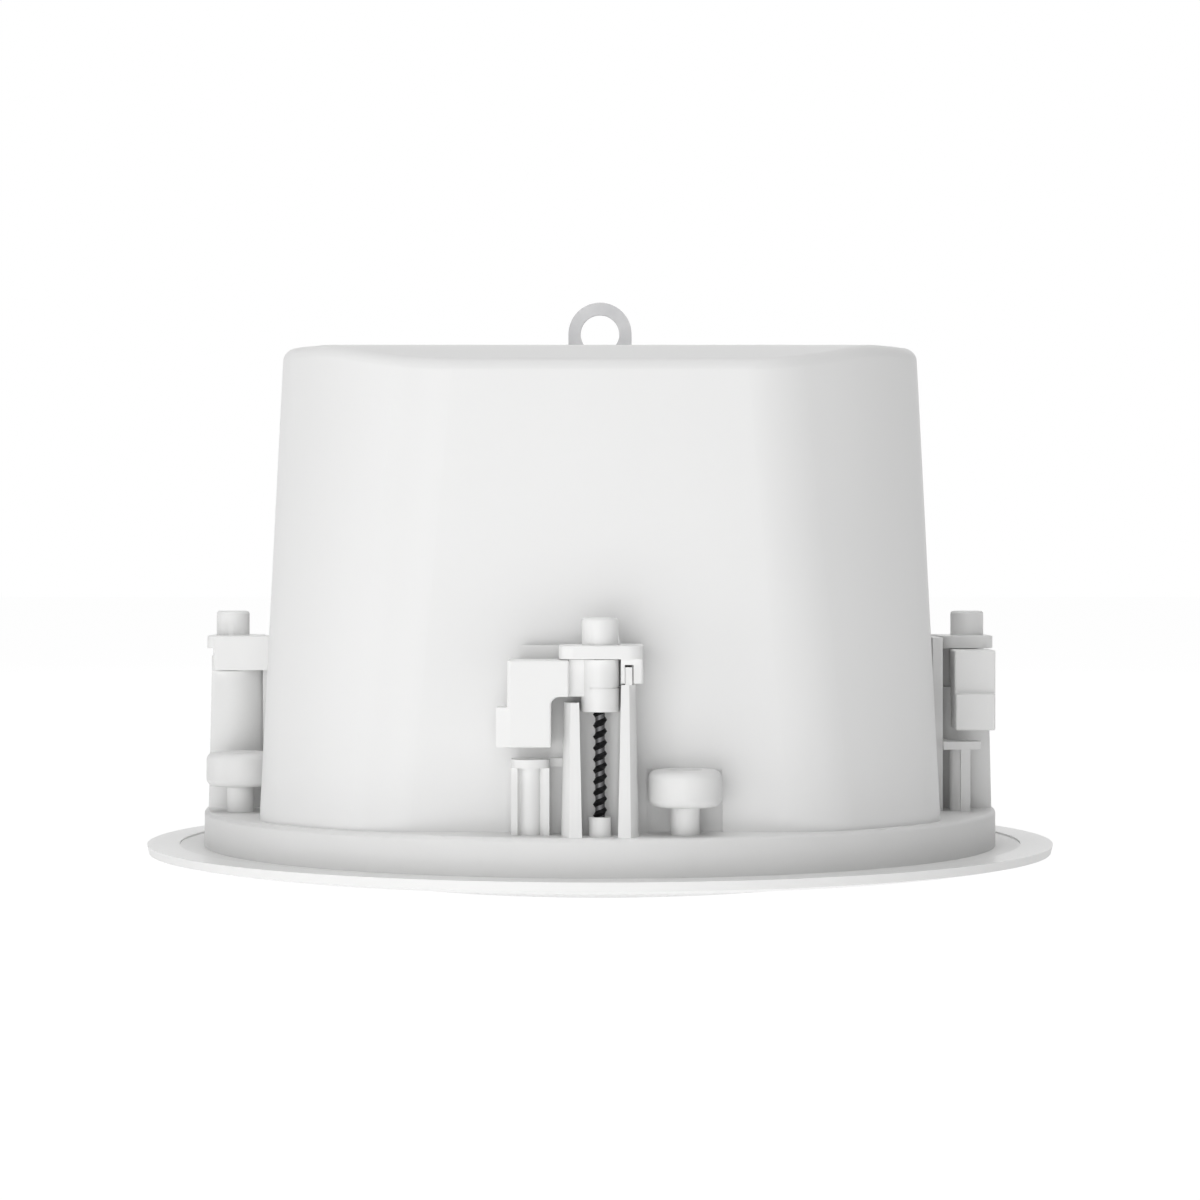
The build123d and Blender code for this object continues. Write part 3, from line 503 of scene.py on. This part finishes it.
# Two square-cornered grids, shifted by half a step each way, make the triangular grid of hole centres
columns = 2 * math.ceil(field_radius / hole_pitch) + 1
rows = 2 * math.ceil(field_radius / (hole_pitch * row_ratio)) + 1
column_step = sizes["Hole pitch"]
row_step = worked(grille_tree, "MULTIPLY", column_step, row_ratio)
grids = []
for shift in (0.0, 0.5):
    grid = add_node(grille_tree, "GeometryNodeMeshGrid", {
        "Size X": worked(grille_tree, "MULTIPLY", column_step, columns - 1.0),
        "Size Y": worked(grille_tree, "MULTIPLY", row_step, rows - 1.0),
        "Vertices X": columns,
        "Vertices Y": rows,
    })
    part_step = add_node(grille_tree, "ShaderNodeCombineXYZ", {
        "X": worked(grille_tree, "MULTIPLY", column_step, shift),
        "Y": worked(grille_tree, "MULTIPLY", row_step, shift),
    })
    grids.append(moved(grille_tree, grid.outputs["Mesh"], part_step.outputs["Vector"]))
place = add_node(grille_tree, "GeometryNodeInputPosition").outputs["Position"]
reach = add_node(grille_tree, "ShaderNodeVectorMath", {0: place}, operation="LENGTH").outputs["Value"]
centres = add_node(grille_tree, "GeometryNodeDeleteGeometry", {
    "Geometry": joined(grille_tree, *grids),
    "Selection": worked(grille_tree, "GREATER_THAN", reach, sizes["Field radius"]),
})


def filled(*curves):
    """Flat faces between the given outlines."""
    sheet = add_node(grille_tree, "GeometryNodeFillCurve", {"Curve": joined(grille_tree, *curves)})
    return sheet.outputs["Mesh"]


def spread(shape):
    """Copies of a shape on every hole's centre."""
    copies = add_node(grille_tree, "GeometryNodeInstanceOnPoints", {
        "Points": centres.outputs["Geometry"],
        "Instance": shape,
    })
    real = add_node(grille_tree, "GeometryNodeRealizeInstances", {"Geometry": copies.outputs["Instances"]})
    return real.outputs["Geometry"]


def welded(*sheets):
    """Sheets joined where their corners meet."""
    weld = add_node(grille_tree, "GeometryNodeMergeByDistance", {
        "Geometry": joined(grille_tree, *sheets),
        "Distance": weld_distance,
    })
    return weld.outputs["Geometry"]


# Each centre carries a hexagon with a round hole, and a border joins the outermost hexagons to the edge
hole = circle(grille_tree, hole_steps, sizes["Hole radius"])
corner_radius = worked(grille_tree, "DIVIDE", sizes["Hole pitch"], row_ratio)
hexagon = add_node(grille_tree, "GeometryNodeTransform", {
    "Geometry": circle(grille_tree, hexagon_corners, corner_radius),
    "Rotation": (0.0, 0.0, hexagon_turn),
}).outputs["Geometry"]
faces_beside = add_node(grille_tree, "GeometryNodeInputMeshEdgeNeighbors").outputs["Face Count"]
outermost = add_node(grille_tree, "GeometryNodeMeshToCurve", {
    "Mesh": welded(spread(filled(hexagon))),
    "Selection": worked(grille_tree, "COMPARE", faces_beside, faces_at_border, count_margin),
})
cells = spread(filled(hexagon, hole))
border = filled(circle(grille_tree, rim_steps, sizes["Sheet radius"]), outermost.outputs["Curve"])
blank = welded(cells, border)

# The blank is thickened upward, its room side is turned outward, and both are bent to the dome
thick = add_node(grille_tree, "GeometryNodeExtrudeMesh", {
    "Mesh": blank,
    "Offset": straight_up(grille_tree, sizes["Sheet thickness"]),
    "Offset Scale": 1.0,
    "Individual": False,
})
room_side = add_node(grille_tree, "GeometryNodeFlipFaces", {"Mesh": blank})
spot = add_node(grille_tree, "ShaderNodeSeparateXYZ", {"Vector": place}).outputs
squares = [worked(grille_tree, "POWER", spot[axis], 2.0) for axis in "XY"]
out_squared = worked(grille_tree, "ADD", *squares)
edge_squared = worked(grille_tree, "POWER", sizes["Sheet radius"], 2.0)
fall = worked(grille_tree, "SUBTRACT", 1.0, worked(grille_tree, "DIVIDE", out_squared, edge_squared))
sag = worked(grille_tree, "MULTIPLY", fall, sizes["Dome rise"])
domed = add_node(grille_tree, "GeometryNodeSetPosition", {
    "Geometry": welded(thick.outputs["Mesh"], room_side.outputs["Mesh"]),
    "Offset": straight_up(grille_tree, worked(grille_tree, "SUBTRACT", sizes["Edge height"], sag)),
})

# The skirt is a plain band swept round the edge, rooted halfway into the sheet
half_sheet = worked(grille_tree, "MULTIPLY", sizes["Sheet thickness"], 0.5)
half_skirt = worked(grille_tree, "MULTIPLY", sizes["Skirt height"], 0.5)
wall = add_node(grille_tree, "GeometryNodeCurvePrimitiveQuadrilateral", {
    "Width": sizes["Sheet thickness"],
    "Height": sizes["Skirt height"],
})
wall_inset = worked(grille_tree, "ADD", half_sheet, sizes["Skirt inset"])
wall_radius = worked(grille_tree, "SUBTRACT", sizes["Sheet radius"], wall_inset)
skirt = swept(grille_tree, circle(grille_tree, rim_steps, wall_radius), wall.outputs["Curve"], False)
root = worked(grille_tree, "ADD", sizes["Edge height"], half_sheet)
skirt_middle = straight_up(grille_tree, worked(grille_tree, "ADD", root, half_skirt))
raised_skirt = moved(grille_tree, skirt, skirt_middle)
give_out(grille_tree, joined(grille_tree, domed.outputs["Geometry"], raised_skirt), sizes["Finish"])
grille_face = grown(grille_tree, {"Finish": white_steel}, "grille_face")
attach(grille_face, "housing")
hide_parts("grille")

# Floor: a wide sheet of white paper, just under the grille's crown, that glows so that it looks white.
# A share of it stays plain matt and keeps the speaker's shadow, and from below it is clear.
floor_gap = 0.0002
floor_reach = 6.0
paper_tone = (0.9, 0.9, 0.9, 1.0)
paper_rough = 0.9
glow_strength = 1.06
glow_share = 0.92
floor_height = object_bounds()[0][2] - floor_gap
corners = [(-floor_reach, -floor_reach, floor_height), (floor_reach, -floor_reach, floor_height)]
corners += [(floor_reach, floor_reach, floor_height), (-floor_reach, floor_reach, floor_height)]
floor_mesh = bpy.data.meshes.new("floor")
floor_mesh.from_pydata(corners, [], [(0, 1, 2, 3)])
floor = bpy.data.objects.new("floor", floor_mesh)
scene_objects.link(floor)
floor_white = bpy.data.materials.new("floor_white")
floor_white.use_nodes = True
floor_tree = floor_white.node_tree
matt = floor_tree.nodes["Principled BSDF"]
matt.inputs["Base Color"].default_value = paper_tone
matt.inputs["Roughness"].default_value = paper_rough
glow = add_node(floor_tree, "ShaderNodeEmission", {"Strength": glow_strength})
ray = add_node(floor_tree, "ShaderNodeLightPath").outputs
seen = worked(floor_tree, "MAXIMUM", ray["Is Camera Ray"], ray["Is Glossy Ray"])
paper = add_node(floor_tree, "ShaderNodeMixShader", {
    "Fac": worked(floor_tree, "MULTIPLY", seen, glow_share),
    1: matt.outputs["BSDF"],
    2: glow.outputs["Emission"],
})
clear = add_node(floor_tree, "ShaderNodeBsdfTransparent")
one_sided = add_node(floor_tree, "ShaderNodeMixShader", {
    "Fac": add_node(floor_tree, "ShaderNodeNewGeometry").outputs["Backfacing"],
    1: paper.outputs["Shader"],
    2: clear.outputs["BSDF"],
})
floor_tree.links.new(one_sided.outputs["Shader"], floor_tree.nodes["Material Output"].inputs["Surface"])
floor_mesh.materials.append(floor_white)
floor.visible_diffuse = False
floor.visible_shadow = False

# Room: plain white walls all round, as the camera and the reflections see it.
# Its own light on the speaker comes mostly from below, as off a white table, and little of it from above.
light_below = 1.0
light_above = 0.08
horizon_blur = 0.1
wall_white = (1.0, 1.0, 1.0, 1.0)
room = bpy.data.worlds.new("room")
bpy.context.scene.world = room
room.use_nodes = True
room_tree = room.node_tree
direction = add_node(room_tree, "ShaderNodeTexCoord").outputs["Generated"]
level = add_node(room_tree, "ShaderNodeMapRange", {
    "Value": add_node(room_tree, "ShaderNodeSeparateXYZ", {"Vector": direction}).outputs["Z"],
    "From Min": -horizon_blur,
    "From Max": horizon_blur,
    "To Min": light_below,
    "To Max": light_above,
})
room_light = room_tree.nodes["Background"]
room_light.inputs["Strength"].default_value = 1.0
room_tree.links.new(level.outputs["Result"], room_light.inputs["Color"])
walls = add_node(room_tree, "ShaderNodeBackground", {"Color": wall_white, "Strength": 1.0})
ray = add_node(room_tree, "ShaderNodeLightPath").outputs
looked_at = worked(room_tree, "MAXIMUM", ray["Is Camera Ray"], ray["Is Transmission Ray"])
pick = add_node(room_tree, "ShaderNodeMixShader", {
    "Fac": worked(room_tree, "MAXIMUM", looked_at, ray["Is Glossy Ray"]),
    1: room_light.outputs["Background"],
    2: walls.outputs["Background"],
})
room_tree.links.new(pick.outputs["Shader"], room_tree.nodes["World Output"].inputs["Surface"])

# Lamps: five square softboxes round the speaker, all turned to the middle of the can.
# Each has a place, a width, a power and whether it shows in reflections; the camera sees none of them.
lamp_aim = Vector((0.0, 0.0, 0.06))
lamps = {
    "front_lamp": ((-0.15, -0.7, 0.08), 0.5, 1.57, True),
    "low_lamp": ((-0.35, -1.3, -0.7), 1.0, 2.6, True),
    "left_lamp": ((-1.5, -0.5, 0.2), 1.0, 3.4, True),
    "top_lamp": ((0.0, -0.1, 1.5), 1.2, 12.5, False),
    "back_lamp": ((0.2, 1.4, 0.7), 1.0, 4.0, False),
}
for name, (stand, width, power, reflected) in lamps.items():
    lamp_data = bpy.data.lights.new(name, "AREA")
    lamp_data.shape = "SQUARE"
    lamp_data.size = width
    lamp_data.energy = power
    lamp = bpy.data.objects.new(name, lamp_data)
    lamp.location = stand
    lamp.rotation_euler = (lamp_aim - Vector(stand)).to_track_quat("-Z", "Y").to_euler()
    lamp.visible_camera = False
    lamp.visible_glossy = reflected
    scene_objects.link(lamp)

# Camera: level and straight in front of the speaker, with a long lens.
# The shift keeps the can's sides upright and sets the speaker in the frame as the photograph has it.
camera_data = bpy.data.cameras.new("camera")
camera_data.sensor_width = 36.0
camera_data.lens = 101.83
camera_data.shift_y = -0.03875
camera_data.clip_start = 0.01
camera = bpy.data.objects.new("camera", camera_data)
camera.location = (0.0, -0.8921, 0.07504)
camera.rotation_euler = (math.radians(90), 0.0, 0.0)
scene_objects.link(camera)
bpy.context.scene.camera = camera
bpy.context.scene.view_settings.view_transform = "Standard"
